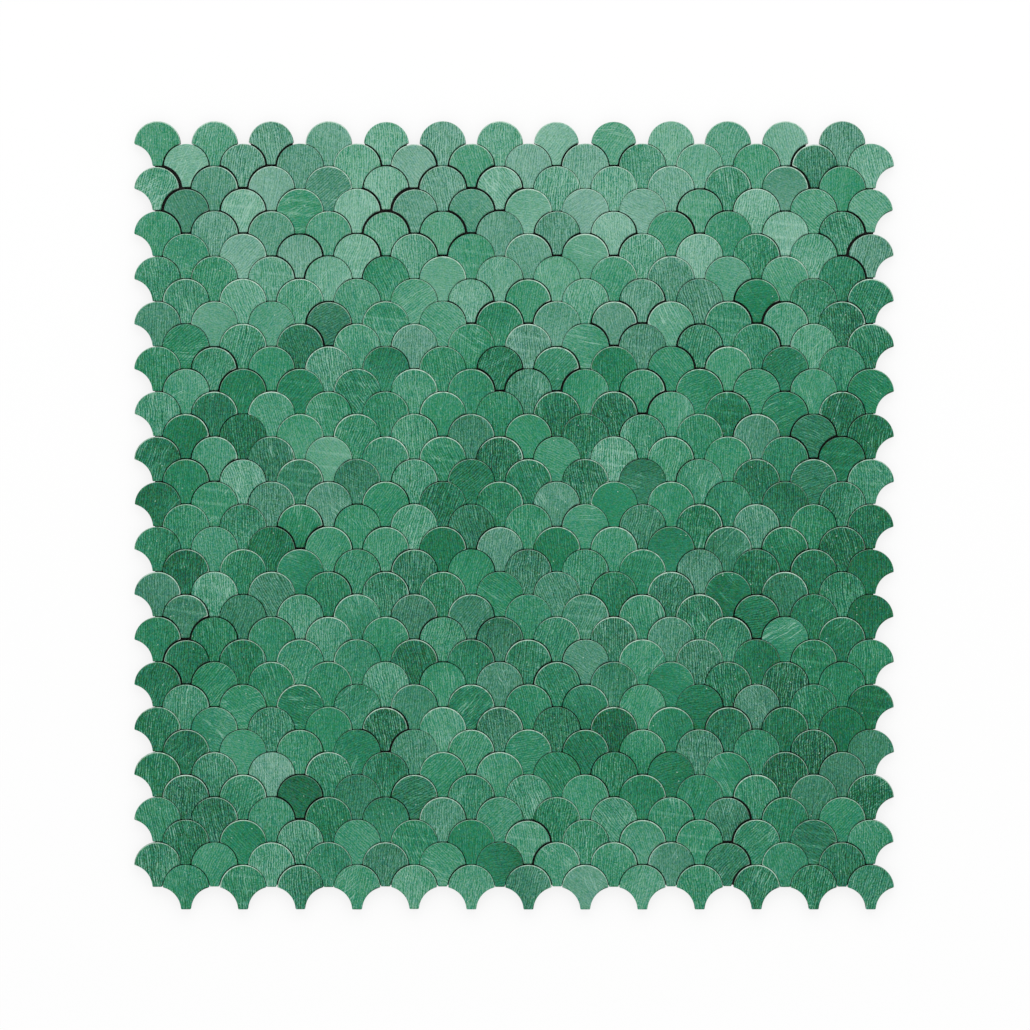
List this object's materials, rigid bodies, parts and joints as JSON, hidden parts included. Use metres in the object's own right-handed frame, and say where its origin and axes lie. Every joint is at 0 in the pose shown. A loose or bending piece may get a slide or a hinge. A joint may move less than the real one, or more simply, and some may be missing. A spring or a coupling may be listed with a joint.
{
  "type": "fish scale mosaic tile sheet",
  "caption": "Scalloped mosaic sheet of green brushed-metal fish scales in staggered rows on a thin peel-and-stick backing, with edges that nest into the next sheet.",
  "frame": {"origin": "centre of the sheet's box in plan, on the adhesive underside, where the sheet lies on a floor or meets the wall", "axes": "+Z out of the face, +Y from the stems towards the round heads, which is up on a wall, +X to the right as seen from the face. Like sheets repeat every 278.2 mm along X and 287.3 mm along Y"},
  "size_m": [0.2848, 0.2956, 0.004],
  "materials": {
    "scale": "brushed by hand under a green tinted lacquer, eased edges bare",
    "backing": "near-black self-adhesive sheet"
  },
  "bodies": {
    "root": {"adhesive_backing": "backing", "scale_row_01": "scale", "scale_row_02": "scale", "scale_row_03": "scale", "scale_row_04": "scale", "scale_row_05": "scale", "scale_row_06": "scale", "scale_row_07": "scale", "scale_row_08": "scale", "scale_row_09": "scale", "scale_row_10": "scale", "scale_row_11": "scale", "scale_row_12": "scale", "scale_row_13": "scale", "scale_row_14": "scale", "scale_row_15": "scale", "scale_row_16": "scale", "scale_row_17": "scale", "scale_row_18": "scale", "scale_row_19": "scale", "scale_row_20": "scale", "scale_row_21": "scale", "scale_row_22": "scale", "scale_row_23": "scale", "scale_row_24": "scale", "scale_row_25": "scale", "scale_row_26": "scale", "scale_row_27": "scale", "scale_row_28": "scale", "scale_row_29": "scale", "scale_row_30": "scale", "scale_row_31": "scale", "scale_row_32": "scale", "scale_row_33": "scale", "scale_row_34": "scale"}
  },
  "joints": []
}
